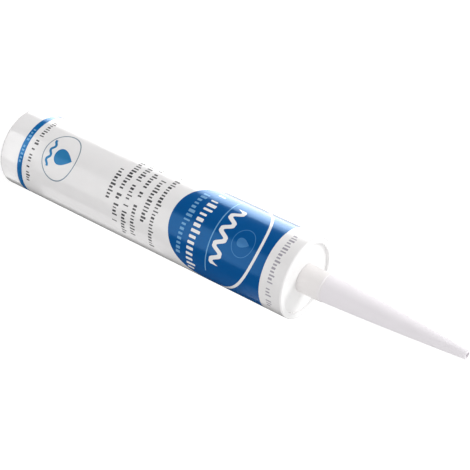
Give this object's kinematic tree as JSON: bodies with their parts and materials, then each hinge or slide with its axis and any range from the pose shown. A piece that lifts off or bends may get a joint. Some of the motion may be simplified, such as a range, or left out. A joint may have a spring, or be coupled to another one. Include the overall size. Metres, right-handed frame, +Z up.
{
  "type": "caulk tube",
  "caption": "Sealant cartridge standing on its open rear end: plastic barrel with printed colour fields, sliding piston, closed neck and a long tapered nozzle that comes off.",
  "frame": {"origin": "centre of the barrel's rear rim, on the surface that the cartridge stands on", "axes": "+Z up the cartridge's axis from the rear rim to the nozzle's tip; the printed panel's middle faces -Y"},
  "size_m": [0.05, 0.05, 0.32],
  "materials": {
    "barrel_plastic": "semi-gloss white polyethylene with printed blue fields",
    "piston_plastic": "natural polyethylene, satin",
    "sealant": "soft translucent paste",
    "nozzle_plastic": "slightly translucent polyethylene"
  },
  "bodies": {
    "barrel": {"cartridge_barrel": "barrel_plastic", "sealant": "sealant"},
    "piston": {"piston": "piston_plastic"},
    "nozzle": {"nozzle": "nozzle_plastic"}
  },
  "joints": [
    {"name": "piston_travel", "type": "slide", "parent": "barrel", "child": "piston", "axis": [0, 0, 1], "range_m": [0, 0.1805], "deforming": ["sealant"]},
    {"name": "nozzle_lift", "type": "slide", "parent": "barrel", "child": "nozzle", "axis": [0, 0, 1], "range_m": [0, 0.016]}
  ]
}
